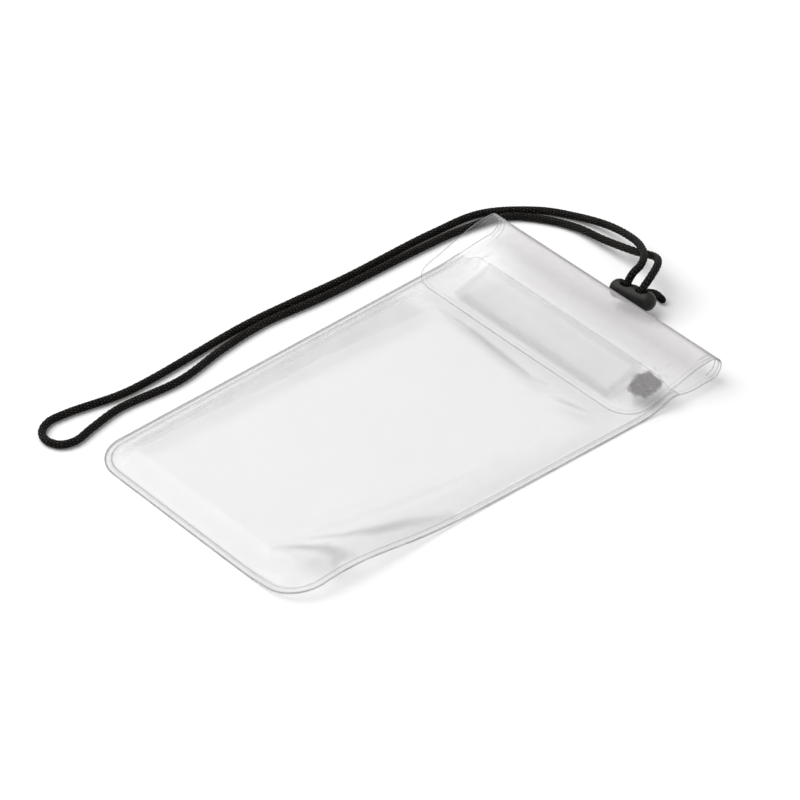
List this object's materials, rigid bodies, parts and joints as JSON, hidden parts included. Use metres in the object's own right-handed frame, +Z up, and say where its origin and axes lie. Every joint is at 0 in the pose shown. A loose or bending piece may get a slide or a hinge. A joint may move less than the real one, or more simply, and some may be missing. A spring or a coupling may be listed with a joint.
{
  "type": "waterproof phone pouch",
  "caption": "clear film pouch lying flat, its flap rolled over and closed by hook-and-loop strips, with a looped black neck cord on a toggle",
  "frame": {"origin": "the middle of the pouch's underside, on the surface that it lies on", "axes": "+X across the pouch to the right, +Y along it from the welded bottom to the fold, +Z up through the front sheet"},
  "size_m": [0.1237, 0.2105, 0.0138],
  "materials": {
    "clear_film": "smooth clear vinyl film, faintly grey, welded along the sides and the bottom",
    "loop_tape": "white woven loop tape",
    "hook_tape": "white hook tape seen through the film",
    "black_plastic": "moulded, satin, near black",
    "black_cord": "fine black braid"
  },
  "bodies": {
    "root": {"back_sheet": "clear_film", "front_sheet": "clear_film", "loop_strip": "loop_tape", "hook_strip": "hook_tape", "lanyard_toggle": "black_plastic", "neck_cord": "black_cord", "cord_tail": "black_cord"}
  },
  "joints": []
}
